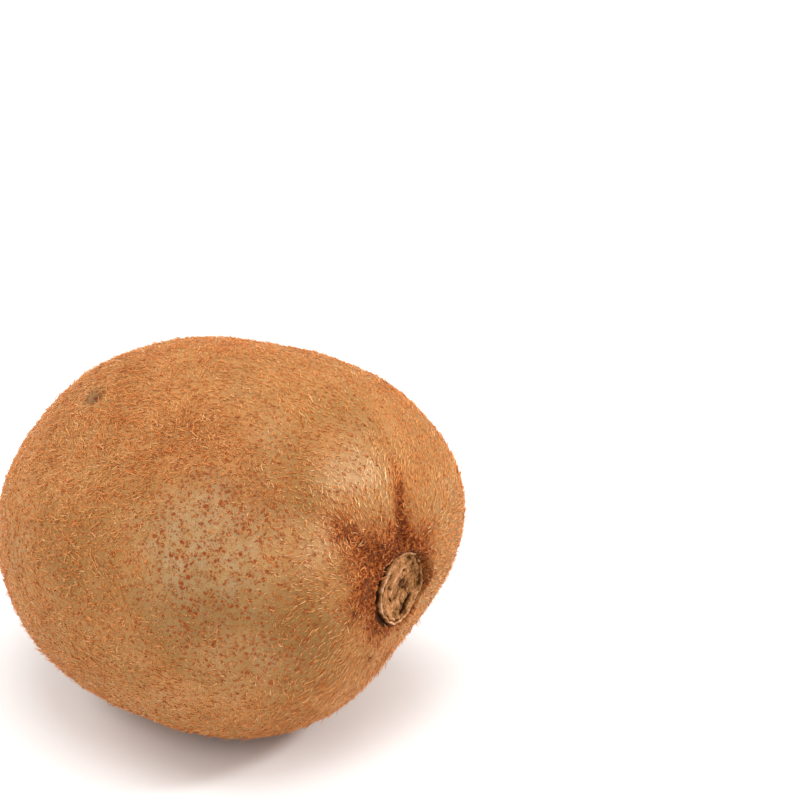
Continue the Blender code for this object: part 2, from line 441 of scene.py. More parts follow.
def egg(directions):
    """The plain body: a full oval, a little wider at the stalk end and bent."""
    along = directions[:, 0]
    fullness = np.where(along > 0, STALK_END_FULLNESS, FLOWER_END_FULLNESS)
    width = np.sqrt(np.maximum(1.0 - np.abs(along) ** fullness, 0.0))
    width *= 1.0 + STALK_END_WIDENING * along
    turn = np.arctan2(directions[:, 2], directions[:, 1])
    x = HALF_LENGTH * along
    y = HALF_WIDTH * width * np.cos(turn) + ENDS_BENT_SIDEWAYS * along**2
    z = HALF_HEIGHT * width * np.sin(turn) + ENDS_BENT_UP * along**2
    return np.stack([x, y, z], axis=1)


def swell(points):
    outward = unit(points)
    rise = np.zeros(len(points))
    for direction, height, spread in SWELLINGS:
        aim = unit(np.array(direction))
        angle = np.arccos(np.clip(outward @ aim, -1.0, 1.0))
        rise += height * bump(angle, 0.0, spread)
    return points + outward * rise[:, None]


def crease_depth(reach, turn):
    depth = np.zeros(len(reach))
    for degrees, deepest, half_width, furthest in CREASES:
        off = turn - np.radians(degrees)
        aside = reach * np.sin(off)
        ahead = np.cos(off) > 0
        fade = smooth_step(reach, CREASE_START, CREASE_START + 2.0)
        fade *= 1.0 - smooth_step(reach, 0.45 * furthest, furthest)
        depth += np.where(ahead, deepest * fade * bump(aside, 0.0, half_width), 0.0)
    return depth


def polar(points, middle_across, middle_up):
    across = points[:, 1] - middle_across
    up = points[:, 2] - middle_up
    return np.hypot(across, up), np.arctan2(up, across)


def at_stalk_end(points):
    return points[:, 0] > STALK_END_FROM


def at_flower_end(points):
    return points[:, 0] < FLOWER_END_TO


def beyond_seat(points):
    """How far a point is outside the uneven edge of the seat: the gap is on one side."""
    reach, turn = polar(points, SCAR_ACROSS, SCAR_UP)
    gap = GAP_WIDTH * smooth_step(np.cos(turn - np.radians(GAP_TURN_DEG)), 0.1, 1.0)
    return reach - SCAR_RADIUS - gap - 0.15 * wander(points, 1.5, 56)


def basin_polar(points):
    return polar(points, BASIN_ACROSS, BASIN_UP)


def pit_polar(points):
    return polar(points, ENDS_BENT_SIDEWAYS, ENDS_BENT_UP)


def pit_reach(points):
    return pit_polar(points)[0]


def seat_level(y, z):
    """How far along the fruit the leaning seat is at that place."""
    lean = np.radians(SEAT_LEAN_TURN_DEG)
    aside = (y - SEAT_ACROSS) * np.cos(lean) + (z - SEAT_UP) * np.sin(lean)
    return SEAT_X - np.tan(np.radians(SEAT_LEAN_DEG)) * aside


def hollow_stalk_end(points):
    """Sinks a basin with a lip and creases into the +X end, and the seat of the scar."""
    reach, turn = basin_polar(points)
    sunk = BASIN_DEPTH * bump(reach, 0.0, BASIN_RADIUS)
    sunk += crease_depth(reach, turn) + puckers(points)
    lip = 0.5 + 0.5 * np.cos(turn - np.radians(LIP_TURN_DEG))
    sunk -= LIP_HEIGHT * lip * bump(reach, LIP_REACH, LIP_SPREAD)
    x = points[:, 0] - sunk
    beyond = beyond_seat(points)
    _, angle = polar(points, SCAR_ACROSS, SCAR_UP)
    uneven = 1.0 + 0.7 * wander(points, 1.8, 57)
    uneven += 1.3 * smooth_step(np.cos(angle - 0.35), 0.6, 1.0)
    x += COLLAR_HEIGHT * uneven * bump(beyond, 0.85, 0.4)
    outside = smooth_step(beyond, 0.0, SEAT_SLOPE)
    seat = seat_level(points[:, 1], points[:, 2])
    x = seat + (x - seat) * outside
    points[:, 0] = np.where(points[:, 0] > 0, x, points[:, 0])
    return points


def puckers(points):
    """Fine folds that the skin draws into round the scar, more on its upper left."""
    reach, turn = polar(points, SCAR_ACROSS, SCAR_UP)
    near, far = PUCKER_REACH
    wobble = 1.6 * wander(points, 2.6, 21)
    folds = np.sin(PUCKER_COUNT * turn + wobble) + 0.8 * wander(points, 1.1, 22)
    fade = smooth_step(reach, near - 1.0, near) * (1.0 - smooth_step(reach, near, far)) ** 1.5
    uneven = 0.55 + 0.45 * np.cos(turn - np.radians(120.0))
    return PUCKER_HEIGHT * fade * uneven * folds


def hollow_flower_end(points):
    """Sinks a small pit into the -X end, with a flat seat for the dried styles."""
    reach, turn = pit_polar(points)
    sunk = PIT_DEPTH * bump(reach, 0.0, PIT_RADIUS)
    folds = np.sin(13 * turn + 2.0 * wander(points, 2.5, 23)) + 0.7 * wander(points, 1.0, 24)
    sunk += 0.13 * folds * smooth_step(reach, 2.6, 3.4) * (1.0 - smooth_step(reach, 4.0, 8.0))
    x = points[:, 0] + sunk
    outside = smooth_step(reach, PIT_SEAT_RADIUS, PIT_SEAT_RADIUS + PIT_SEAT_SLOPE)
    x = PIT_SEAT_X + (x - PIT_SEAT_X) * outside
    points[:, 0] = np.where(points[:, 0] < 0, x, points[:, 0])
    return points


def roughen(points):
    """Slow waves, fine unevenness and the one dimple, pushed out of the skin or in."""
    outward = unit(points / np.array([HALF_LENGTH, HALF_WIDTH, HALF_HEIGHT]) ** 2)
    rise = waves(points, SKIN_WAVES)
    stalk_seat = (points[:, 0] > 0) & (beyond_seat(points) < 0.5 * SEAT_SLOPE)
    flower_seat = (points[:, 0] < 0) & (pit_reach(points) < PIT_SEAT_RADIUS)
    rise[stalk_seat | flower_seat] = 0.0
    away = dimple_reach(points)
    rise -= DIMPLE_DEPTH * bump(away, 0.0, DIMPLE_RADIUS)
    rise += DIMPLE_LIP * bump(away, 2.0 * DIMPLE_RADIUS, 0.7)
    return points + outward * rise[:, None]


def lying():
    """The turn from the fruit's own axes to how it lies, as a 3 x 3 array."""
    roll = Matrix.Rotation(np.radians(ROLLED_DEG), 3, "X")
    pitch = Matrix.Rotation(-np.radians(NOSE_UP_DEG), 3, "Y")
    return np.array(pitch @ roll)


def placing(plain):
    """The turn and the shift, in metres, that put these plain points in the solid's box."""
    lowest, highest = (np.array(corner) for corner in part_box("fruit"))
    turned = plain @ lying().T * METRES_PER_MM
    middle = (turned.min(axis=0) + turned.max(axis=0)) / 2
    shift = (lowest + highest) / 2 - middle
    shift[2] = highest[2] - turned[:, 2].max()
    return lying(), shift


def place(points, placed_by):
    turn, shift = placed_by
    return points @ turn.T * METRES_PER_MM + shift


def fur(points):
    """How thick the hair is: about 1 where it covers the skin, near 0 where it is bare."""
    return np.clip(0.95 + zones(points, FUR_ZONES) + waves(points, FUR_WAVES), 0.06, 1.3)


def redness(points):
    """How red-brown skin and hair are: most by the scar, its two creases and the pit."""
    reach, turn = basin_polar(points)
    upper_left = 0.5 + 0.5 * np.cos(turn - np.radians(112.0))
    edge = reach + 1.6 * wander(points, 2.8, 43)
    red = (0.5 + 0.6 * upper_left) * (1.0 - smooth_step(edge, 6.0, 8.0 + 4.4 * upper_left))
    for degrees, half_width, near, far in RED_CREASES:
        off = turn - np.radians(degrees)
        aside = reach * np.sin(off)
        along = (1.0 - smooth_step(reach, near, far)) * (np.cos(off) > 0)
        red += 0.8 * along * bump(aside, 0.0, half_width)
    red = red * at_stalk_end(points) + zones(points, RED_PATCHES)
    red += 0.9 * bump(pit_reach(points), 0.0, 5.5) * at_flower_end(points)
    return np.clip(red * (1.0 + 0.35 * wander(points, 1.6, 41)), 0.0, 1.0)


def dimple_reach(points):
    away = np.hypot(points[:, 0] - DIMPLE[0], points[:, 1] - DIMPLE[1])
    return np.where(points[:, 2] > 0, away, HALF_LENGTH)


def shade(points):
    """Painted shade: how dark the skin is painted in the crack beside the scar, along the main
    crease, in the pit and in the dimple.
    """
    reach, turn = basin_polar(points)
    off = turn - np.radians(MAIN_CREASE_DEG)
    fold = bump(reach * np.sin(off), 0.0, 0.5) * bump(reach, 10.0, 4.5) * (np.cos(off) > 0)
    gap = 1.0 - smooth_step(beyond_seat(points), 0.0, 0.75)
    crack = (gap + 0.5 * fold) * at_stalk_end(points)
    pit = (1.0 - smooth_step(pit_reach(points), 2.6, 4.2)) * at_flower_end(points)
    hole = bump(dimple_reach(points), 0.0, 1.35)
    return np.clip(crack + 0.8 * (pit + hole), 0.0, 1.0)


# Painted highlight: how much paler skin and hair are painted where light glances off the wax,
# which is also where the skin is smoother.
def wax_and_highlight(points):
    return np.clip(zones(points, WAX_AND_HIGHLIGHT_ZONES), 0.0, 1.0) * (0.7 + 0.3 * wander(points, 2.0, 55))


# How green and dark the skin is: mostly its own colour, in places painted shade.
def olive_and_shade(points):
    return np.clip(0.15 + zones(points, OLIVE_AND_SHADE_ZONES) + waves(points, OLIVE_WAVES), 0.0, 1.0)


def make_object(name, corners, groups, places=None, fields=None):
    """A smooth mesh object from corners in metres and arrays of faces of one size each."""
    mesh = bpy.data.meshes.new(name)
    loops = np.concatenate([group.ravel() for group in groups]).astype(np.int32)
    sizes = np.concatenate([np.full(len(group), group.shape[1]) for group in groups])
    mesh.vertices.add(len(corners))
    mesh.loops.add(len(loops))
    mesh.polygons.add(len(sizes))
    mesh.vertices.foreach_set("co", corners.astype(np.float32).ravel())
    mesh.loops.foreach_set("vertex_index", loops)
    mesh.polygons.foreach_set("loop_start", (np.cumsum(sizes) - sizes).astype(np.int32))
    if places is not None:
        layer = mesh.uv_layers.new(name=BAKE_MAP)
        layer.uv.foreach_set("vector", places.astype(np.float32).ravel())
    for field, values in (fields or {}).items():
        stored = mesh.attributes.new(field, "FLOAT", "POINT")
        stored.data.foreach_set("value", values.astype(np.float32))
    mesh.update(calc_edges=True)
    mesh.shade_smooth()
    return new_object(name, mesh)


def skin_surface():
    """The fine skin: points in the fruit's own axes and placed, faces and map."""
    directions, groups = ball(*SKIN_GRID)
    plain = swell(egg(crowd_rings(directions)))
    hollowed = hollow_flower_end(hollow_stalk_end(plain.copy()))
    placed_by = placing(hollowed)
    own = roughen(hollowed)
    placed = place(own, placed_by)
    placed[:, 2] = np.maximum(placed[:, 2], 0.0)
    return own, placed, groups, placed_by


def make_skin(own, placed, groups):
    looks = {"fur": fur, "red": redness, "shade": shade, "olive_and_shade": olive_and_shade, "wax_and_highlight": wax_and_highlight}
    fields = {name: look(own) for name, look in looks.items()}
    return make_object("furry_skin", placed, groups, ball_map(*SKIN_GRID), fields)


def disc_coordinates(directions, face_share):
    """Reads a ball as a disc: distance from the middle as a share of the radius, turn,
    and whether the corner is on the outer face, which takes that share of the rings."""
    share, turn = ball_polar(directions)
    outer = share <= face_share
    reach = np.where(outer, share / face_share, (1.0 - share) / (1.0 - face_share))
    return reach, turn, outer


def near_line(across, up, start, end, half_width):
    """1 on the line between two places of the scar, falling to 0 away from it."""
    start, end = np.array(start), np.array(end)
    run = end - start
    share = ((across - start[0]) * run[0] + (up - start[1]) * run[1]) / (run @ run)
    share = np.clip(share, 0.0, 1.0)
    away = np.hypot(across - start[0] - share * run[0], up - start[1] - share * run[1])
    half_width = half_width * (0.45 + 0.55 * np.sin(np.pi * share))
    return bump(away, 0.0, half_width)


def scar_rims(flat, share, turn):
    """The papery rim, a thin second ring and the gap between them, each broken in places."""
    edge = share + waves(flat, RIM_WAVES)
    left = smooth_step(np.cos(turn - np.radians(190.0)), -0.35, 0.75)
    right = smooth_step(np.cos(turn - np.radians(12.0)), 0.6, 0.95)
    side = np.clip(0.2 + 1.05 * left + 0.6 * right + 0.45 * wander(flat, 2.2, 66), 0.05, 1.5)
    second = np.maximum(1.3 * wander(flat, 2.1, 67), 0.0) * bump(edge, 0.82, 0.03)
    return side * bump(edge, 0.95, 0.03), second, side * bump(edge, 0.885, 0.022)


def scar_arch(flat, reach, turn):
    """A ridge over the upper half of the face, and the dark line inside it."""
    upper = smooth_step(np.cos(turn - np.radians(118.0)), -0.15, 0.4)
    arch = bump(reach + 0.2 * wander(flat, 0.9, 87), ARCH_REACH, 0.17) * upper
    arch *= np.clip(0.75 + 0.6 * wander(flat, 1.3, 88), 0.2, 1.2)
    return arch, upper * bump(reach, ARCH_REACH - 0.4, 0.18)


def scar_grooves(flat, reach, turn, share):
    """Fine rings, and fibres that run outwards near the edge, from about -1 to 1."""
    rings = np.sin(2.0 * np.pi * reach / RING_GAP + 1.5 * wander(flat, 1.2, 89))
    rings *= smooth_step(reach, ARCH_REACH, ARCH_REACH + 0.5)
    fibres = np.sin(FIBRES * turn + 2.5 * wander(flat, 0.8, 90)) * smooth_step(share, 0.62, 0.85)
    return 0.6 * rings + 0.6 * fibres * (0.5 + 0.5 * wander(flat, 1.0, 91))


def scar_cracks(flat, across, up, reach, turn):
    """The wide split at the lower right, short cracks and thin spokes."""
    split, *cracks = (near_line(across, up, *line) for line in CRACKS)
    spoke = bump(np.abs(np.sin(3.5 * turn + 0.8 * wander(flat, 1.0, 68))), 0.0, 0.16)
    spoke *= bump(reach, 2.3, 1.1) * smooth_step(wander(flat, 1.2, 69), -0.1, 0.3)
    return split, np.maximum(*cracks), spoke


def scar_flakes(flat):
    """Papery layers: how high they lie, and where their torn edges are."""
    large, small = wander(flat, 1.5, 70), wander(flat, 0.8, 71)
    height = 0.12 * smooth_step(large, -0.12, 0.12) + 0.06 * smooth_step(small, -0.12, 0.12)
    return height, np.maximum(bump(large, -0.08, 0.07), 0.7 * bump(small, -0.1, 0.09))


def scar_relief(across, up, share):
    """Height of the woody face over its plate, and how pale it is there."""
    flat = np.stack([0.0 * across, across, up], axis=1)
    across, up = across + waves(flat, BENDS_ACROSS), up + waves(flat, BENDS_UP)
    reach, turn = np.hypot(across, up), np.arctan2(up, across)
    rim, second, between = scar_rims(flat, share, turn)
    arch, under_arch = scar_arch(flat, reach, turn)
    grooves = scar_grooves(flat, reach, turn, share)
    split, crack, spoke = scar_cracks(flat, across, up, reach, turn)
    flakes, torn = scar_flakes(flat)
    core = bump(np.hypot((across - 0.8) / 1.15, (up + 0.3) / 1.6), 0.0, 1.0)
    # Pale raised specks in the core: the rise is relief, the paleness is a painted glint.
    bumps_and_glints = core * np.maximum(wander(flat, 0.5, 74), 0.0)
    height = 0.3 * share**2 + 0.36 * rim + 0.2 * second + 0.42 * arch + 0.3 * (bumps_and_glints - core)
    height += flakes + waves(flat, SCAR_ROUGHNESS) + 0.05 * grooves
    height -= 0.75 * split + 0.35 * crack + 0.2 * spoke
    pale = 0.5 + 0.4 * rim + 0.2 * second + 0.34 * arch + 0.9 * (flakes - 0.1)
    pale += waves(flat, SCAR_BLOTCHES) + 0.4 * bumps_and_glints + 0.09 * grooves
    # Painted shade: darker in the gap between the rims, in the split, the cracks and the spokes,
    # and down the steep edge.
    pale -= 0.4 * under_arch + 0.3 * between + 0.24 * core + 0.13 * torn
    pale -= 0.75 * split + 0.45 * crack + 0.2 * spoke + 0.75 * smooth_step(share, 0.965, 0.99)
    return height, np.clip(pale, 0.0, 1.0)


def make_scar(placed_by):
    """A dry woody button: an uneven outline, a plate in the seat and its carved face."""
    directions, groups = ball(*SCAR_GRID)
    share, turn, outer = disc_coordinates(directions, SCAR_FACE_SHARE)
    around = np.stack([0.0 * turn, np.cos(turn), np.sin(turn)], axis=1) * SCAR_RADIUS
    reach = share * (SCAR_RADIUS + waves(around, SCAR_OUTLINE))
    across, up = SCAR_STRETCH * reach * np.cos(turn), reach * np.sin(turn)
    height, pale = scar_relief(across, up, share)
    rise = SCAR_PLATE + height * (1.0 - smooth_step(share, 0.97, 1.0))
    rise *= 1.0 - 0.75 * smooth_step(share, 0.955, 1.0)
    y, z = across + SCAR_ACROSS, up + SCAR_UP
    x = seat_level(y, z) + SCAR_BACK_ABOVE_SEAT + np.where(outer, rise, 0.0)
    placed = place(np.stack([x, y, z], axis=1), placed_by)
    fields = {"pale": np.where(outer, pale, BACK_PALENESS)}
    return make_object("stalk_scar", placed, groups, ball_map(*SCAR_GRID), fields)


def tube(path, radii, sides):
    """A closed tapering tube along a path: corners, quads and end triangles."""
    ahead = unit(np.gradient(path, axis=0))
    side = unit(np.cross(ahead, OFF_EVERY_STRAND))
    other = np.cross(ahead, side)
    turn = np.arange(sides) * 2 * np.pi / sides
    rings = path[:, None] + radii[:, None, None] * (
        side[:, None] * np.cos(turn)[None, :, None] + other[:, None] * np.sin(turn)[None, :, None]
    )
    corners = np.concatenate([rings.reshape(-1, 3), path[:1], path[-1:]])
    column, beside = np.arange(sides), (np.arange(sides) + 1) % sides
    row = np.arange(len(path) - 1)[:, None] * sides
    quads = np.stack([row + column, row + beside, row + sides + beside, row + sides + column], 2)
    first, last = len(corners) - 2, len(corners) - 1
    top = (len(path) - 1) * sides
    ends = np.concatenate(
        [
            np.stack([0 * column + first, beside, column], 1),
            np.stack([0 * column + last, top + column, top + beside], 1),
        ]
    )
    return corners, quads.reshape(-1, 4), ends


def style_strand(kind, rng):
    """One dry style or filament as a tube, and its tone."""
    sides, tip, starts, lengths, splays, half_widths, tones = kind
    aim = rng.uniform(0, 2 * np.pi)
    start = STYLES_RADIUS * rng.uniform(*starts)
    step = rng.uniform(*lengths) / (STRAND_STOPS - 1)
    splay = rng.uniform(*splays)
    share = np.linspace(0.0, 1.0, STRAND_STOPS)
    lean = splay * (0.3 + 1.2 * share)
    twist = aim + rng.uniform(-0.9, 0.9) * share
    out = start + (np.cumsum(np.sin(lean)) - np.sin(lean[0])) * step
    out = np.minimum(out, STRANDS_REACH)
    x = PIT_SEAT_X - 0.3 - np.cumsum(np.cos(lean)) * step
    y = ENDS_BENT_SIDEWAYS + out * np.cos(twist)
    z = ENDS_BENT_UP + out * np.sin(twist)
    radii = 1.0 - 0.55 * share + tip * bump(share, 0.93, 0.08)
    radii *= rng.uniform(*half_widths)
    return tube(np.stack([x, y, z], axis=1), radii, sides), rng.uniform(*tones)


def make_styles(placed_by, rng):
    """A dark mound with a splayed crown of dry styles and thin crumpled filaments."""
    directions, groups = ball(*MOUND_GRID)
    share, turn, under = disc_coordinates(directions, 0.5)
    reach = STYLES_RADIUS * share
    y, z = reach * np.cos(turn), reach * np.sin(turn)
    flat = np.stack([0 * y, y, z], axis=1)
    height = MOUND_HEIGHT * (1.0 - share**4) + waves(flat, MOUND_WAVES)
    height *= 1.0 - smooth_step(share, 0.85, 1.0)
    x = PIT_SEAT_X - 0.1 - np.where(under, 0.0, height)
    mound = np.stack([x, y + ENDS_BENT_SIDEWAYS, z + ENDS_BENT_UP], axis=1)
    corners, quads, triangles = [mound], [groups[0]], [groups[1], groups[2]]
    tones = [0.25 + 0.2 * wander(flat, 0.5, 73)]
    count = len(mound)
    for kind in [STYLE] * STYLES_COUNT + [FILAMENT] * FILAMENTS_COUNT:
        (points, sides, ends), tone = style_strand(kind, rng)
        corners.append(points)
        quads.append(sides + count)
        triangles.append(ends + count)
        tones.append(np.full(len(points), tone))
        count += len(points)
    placed = place(np.concatenate(corners), placed_by)
    fields = {"pale": np.clip(np.concatenate(tones), 0.0, 1.0)}
    groups = [np.concatenate(quads), np.concatenate(triangles)]
    return make_object("dried_styles", placed, groups, None, fields)


def scatter(surface, weight, count, rng):
    """Roots spread over the skin by weight: own and placed points, normals."""
    own, placed, normals, quads = surface
    a, b, c, d = (placed[quads[:, k]] for k in range(4))
    area = np.linalg.norm(np.cross(c - a, d - b), axis=1) / 2
    running = np.cumsum(area * weight)
    pick = (np.arange(count) + rng.uniform(size=count)) / count * running[-1]
    face = quads[np.searchsorted(running, pick)]
    across, up = rng.uniform(size=(2, count, 1))
    shares = ((1 - across) * (1 - up), across * (1 - up), across * up, (1 - across) * up)

    def spread(values):
        return sum(values[face[:, k]] * shares[k] for k in range(4))

    return spread(own), spread(placed), unit(spread(normals))


def grain(own, normals, turn):
    """The way the hair lies: away from the scar on its shoulders, then to the other end."""
    reach, angle = basin_polar(own)
    outward = np.stack([0 * reach, np.cos(angle), np.sin(angle)], axis=1)
    stalk = smooth_step(own[:, 0], 5.0, 22.0)[:, None]
    way = np.array([-1.0, 0.0, 0.0]) + 1.6 * stalk * outward
    return unit(along_skin(way @ turn.T, normals))


def spin(vectors, axes, angles):
    """The vectors turned about the axes, which are at right angles to them."""
    angles = angles[:, None]
    return vectors * np.cos(angles) + np.cross(axes, vectors) * np.sin(angles)


def hair_paths(roots, normals, ways, length, lift, droop, curl, steps):
    """Points along each hair, in metres, as steps that turn sideways and droop."""
    points = [roots - normals * ROOT_DEPTH * METRES_PER_MM]
    for step in range(steps):
        rise = lift - droop * step
        along = ways * np.cos(rise)[:, None] + normals * np.sin(rise)[:, None]
        points.append(points[-1] + along * (length * METRES_PER_MM / steps)[:, None])
        ways = spin(ways, normals, curl)
    return np.stack(points, axis=1)


def hair_corners(paths, half_width):
    """Three corners round each inner stop of a hair and one at each end, in metres."""
    count, stops = paths.shape[:2]
    ahead = unit(paths[:, 2:] - paths[:, :-2])
    side = unit(np.cross(ahead, OFF_EVERY_HAIR))
    other = np.cross(ahead, side)
    taper = np.linspace(1.0, 0.7, stops - 2)[None, :, None]
    thickness = half_width[:, None, None] * METRES_PER_MM * taper
    corners = np.empty((count, 2 + 3 * (stops - 2), 3))
    corners[:, 0], corners[:, -1] = paths[:, 0], paths[:, -1]
    for sector in range(3):
        angle = sector * 2 * np.pi / 3
        around = side * np.cos(angle) + other * np.sin(angle)
        corners[:, 1 + sector : -1 : 3] = paths[:, 1:-1] + around * thickness
    corners[:, :, 2] = np.maximum(corners[:, :, 2], LOWEST_HAIR * METRES_PER_MM)
    return corners


def hair_faces(rings):
    """The quads and the triangles of one hair with that many rings of three corners."""
    body = [
        (1 + 3 * r + k, 1 + 3 * r + (k + 1) % 3, 4 + 3 * r + (k + 1) % 3, 4 + 3 * r + k)
        for r in range(rings - 1)
        for k in range(3)
    ]
    top = 1 + 3 * (rings - 1)
    root = [(0, 1 + (k + 1) % 3, 1 + k) for k in range(3)]
    tip = [(1 + 3 * rings, top + k, top + (k + 1) % 3) for k in range(3)]
    return body, root + tip


def hair_mesh(paths, half_width, tint):
    """Closed hairs, pointed at both ends: corners, faces, and map places by tint."""
    corners = hair_corners(paths, half_width)
    count, each = corners.shape[:2]
    rings = (each - 2) // 3
    offset = np.arange(count)[:, None, None] * each
    groups = [
        (np.array(faces)[None] + offset).reshape(-1, len(faces[0]))
        for faces in hair_faces(rings)
        if faces
    ]
    column = np.floor(np.clip(tint, 0.0, 0.999) * TINT_COLUMNS)
    aside = np.array([0.0] + [-0.35, 0.0, 0.35] * rings + [0.0])
    u = (column[:, None] + 0.5 + aside[None]) / TINT_COLUMNS
    v = np.concatenate([[0.02], np.repeat(np.arange(1, rings + 1) / (rings + 1), 3), [0.98]])
    places = np.stack([u, 0 * u + v[None]], axis=2).reshape(-1, 2)
    order = np.concatenate([group.ravel() for group in groups])
    return corners.reshape(-1, 3), groups, places[order]


def combed_share(own):
    """How near a place is to the shoulders round the scar, where hair lies straight."""
    reach, _ = basin_polar(own)
    return bump(reach, 14.0, 4.5) * at_stalk_end(own)


def varied(spread, count, rng):
    """Factors about 1, one a hair."""
    return np.exp(spread * rng.normal(size=count))


def long_hair_tint(own, red, combed, calm, rng):
    """Places on the colour ramp: darker and more mixed where red, paler where a highlight is
    painted.
    """
    painted_highlight = wax_and_highlight(own)
    # Paler on the combed shoulders, partly paler hair and partly painted highlight, and much
    # paler in the highlight zones, which is painted highlight.
    tint = 0.58 - 0.32 * red - 0.05 * calm + (0.09 * combed + 0.4 * painted_highlight) * (1 - red)
    tint += waves(own, TINT_WAVES) + 0.28 * red * wander(own, 0.8, 86)
    tint += (0.115 + 0.12 * red) * (1.0 - 0.6 * calm) * rng.normal(size=len(own))
    return np.minimum(tint, 0.84 + 0.16 * painted_highlight)


def make_long_hair(surface, turn, rng):
    """Hair that lies along the skin, longer where it is thick or combed."""
    own, placed, _, quads = surface
    middle = own[quads].mean(axis=1)
    weight = hair_weight(middle, placed[quads].mean(axis=1))
    weight *= np.clip(fur(middle), 0.05, 2.0) ** 1.4 + 0.8 * redness(middle)
    own, roots, normals = scatter(surface, weight, LONG_HAIRS, rng)
    red, combed = redness(own), combed_share(own)
    calm = np.clip(zones(own, CALM_ZONES), 0.0, 1.0)
    swirl = waves(own, LONG_SWIRLS) + 0.36 * rng.normal(size=LONG_HAIRS)
    ways = spin(grain(own, normals, turn), normals, swirl * (1.0 - 0.75 * combed) * (1.0 + red))
    length = LONG_LENGTH + 0.32 * fur(own) + 0.33 * combed - 0.06 * red - 0.2 * calm
    length += 0.3 * bump(np.linalg.norm(own - np.array(LONGEST_AT), axis=1), 0.0, 14.0)
    length *= varied(0.32, LONG_HAIRS, rng)
    lift = LONG_LIFT_DEG + 8.0 * rng.normal(size=LONG_HAIRS) - 6.0 * combed
    lift = np.radians(np.clip(lift, 6.0, 50.0))
    droop = np.radians(np.clip(9.0 + 8.0 * rng.normal(size=LONG_HAIRS), 0.0, 16.0))
    curl = np.radians((26.0 + 34.0 * red) * rng.normal(size=LONG_HAIRS)) * (1.0 - 0.5 * combed)
    paths = hair_paths(roots, normals, ways, length, lift, droop, curl, 3)
    half_width = (LONG_HALF_WIDTH + 0.012 * red) * varied(0.2, LONG_HAIRS, rng)
    tint = long_hair_tint(own, red, combed, calm, rng)
    make_hair_pieces("down", LONG_PIECES, own, paths, half_width, tint)


def scatter_tufts(surface, weight, rng):
    """Roots in small clusters: own and placed points, normals, and each one's size."""
    found = scatter(surface, weight, TUFTS, rng)
    own, roots, normals = (np.repeat(values, HAIRS_IN_TUFT, axis=0) for values in found)
    size = np.repeat(rng.uniform(0.5, 1.25, TUFTS), HAIRS_IN_TUFT)
    near = TUFT_SPREAD * size[:, None] * rng.normal(size=(len(size), 3))
    return own, roots + along_skin(near, normals) * METRES_PER_MM, normals, size


def short_hair_roots(surface, rng):
    """Roots of the short hairs, then of the tufts, with each one's size."""
    own, placed, _, quads = surface
    middle = own[quads].mean(axis=1)
    allowed = hair_weight(middle, placed[quads].mean(axis=1))
    coat, red = fur(middle), redness(middle)
    under = scatter(surface, allowed * (0.45 + 0.6 * coat + 0.5 * red), SHORT_HAIRS, rng)
    bare = np.clip(1.15 - coat, 0.05, 1.0) * (1.0 + 0.5 * wander(middle, 4.0, 84))
    tufts = scatter_tufts(surface, allowed * (bare + 2.2 * red + 0.9 * wax_and_highlight(middle)), rng)
    return [np.concatenate(pair) for pair in zip((*under, np.ones(SHORT_HAIRS)), tufts)]


def make_short_hair(surface, turn, rng):
    """Short hair under and between the long, and red-brown tufts that show as dots."""
    own, roots, normals, size = short_hair_roots(surface, rng)
    count = len(own)
    dark = np.arange(count) >= SHORT_HAIRS
    red, combed = redness(own), combed_share(own)
    swirl = 1.1 * wander(own, 6.0, 81) + np.where(dark, 1.2, 0.8) * rng.normal(size=count)
    ways = spin(grain(own, normals, turn), normals, swirl * (1.0 - 0.6 * combed))
    length = np.where(dark, TUFT_LENGTH * size, SHORT_LENGTH) * varied(0.28, count, rng)
    lift = SHORT_LIFT_DEG + 12.0 * rng.normal(size=count)
    lift = np.radians(np.clip(lift, 5.0, 60.0))
    curl = np.radians(40.0 * rng.normal(size=count))
    paths = hair_paths(roots, normals, ways, length, lift, np.radians(14.0), curl, 2)
    half_width = np.where(dark, TUFT_HALF_WIDTH, SHORT_HALF_WIDTH) * varied(0.2, count, rng)
    tint = np.where(dark, 0.31 - 0.26 * red, 0.55 - 0.25 * red) + 0.09 * rng.normal(size=count)
    make_hair_pieces("stubble", SHORT_PIECES, own, paths, half_width, tint)


def hair_weight(own, placed):
    """No hair on the seats of the scar and the styles or where the fruit rests."""
    stalk = np.where(at_stalk_end(own), smooth_step(beyond_seat(own), 0.3, 0.6), 1.0)
    flower = np.where(at_flower_end(own), smooth_step(pit_reach(own), 2.6, 3.2), 1.0)
    free = smooth_step(placed[:, 2], 0.2 * METRES_PER_MM, 0.6 * METRES_PER_MM)
    return stalk * flower * free * smooth_step(dimple_reach(own), 0.9, 1.9)


def make_hair_pieces(name, pieces, own, paths, half_width, tint):
    """Splits the hairs into that many bands along the fruit, one object each."""
    order = np.argsort(own[:, 0])
    for number, chosen in enumerate(np.array_split(order, pieces)):
        corners, groups, places = hair_mesh(paths[chosen], half_width[chosen], tint[chosen])
        made = make_object(f"{name}_{number + 1}", corners, groups, places)
        made.data.materials.append(material_of("hair"))
        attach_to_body(made, "root")


# Materials


def new_material(name):
    material = bpy.data.materials.new(name)
    material.use_nodes = True
    tree = material.node_tree
    return material, tree, tree.nodes["Principled BSDF"]


def attach(tree, value, socket):
    """Gives a socket a number, a colour or the output of another node."""
    if isinstance(value, tuple):
        socket.default_value = (*value, 1.0)
    elif isinstance(value, (int, float)):
        socket.default_value = value
    else:
        tree.links.new(value, socket)


def millimetres(tree):
    scale = tree.nodes.new("ShaderNodeVectorMath")
    scale.operation = "SCALE"
    scale.inputs["Scale"].default_value = 1.0 / METRES_PER_MM
    place_node = tree.nodes.new("ShaderNodeTexCoord")
    tree.links.new(place_node.outputs["Object"], scale.inputs[0])
    return scale.outputs[0]


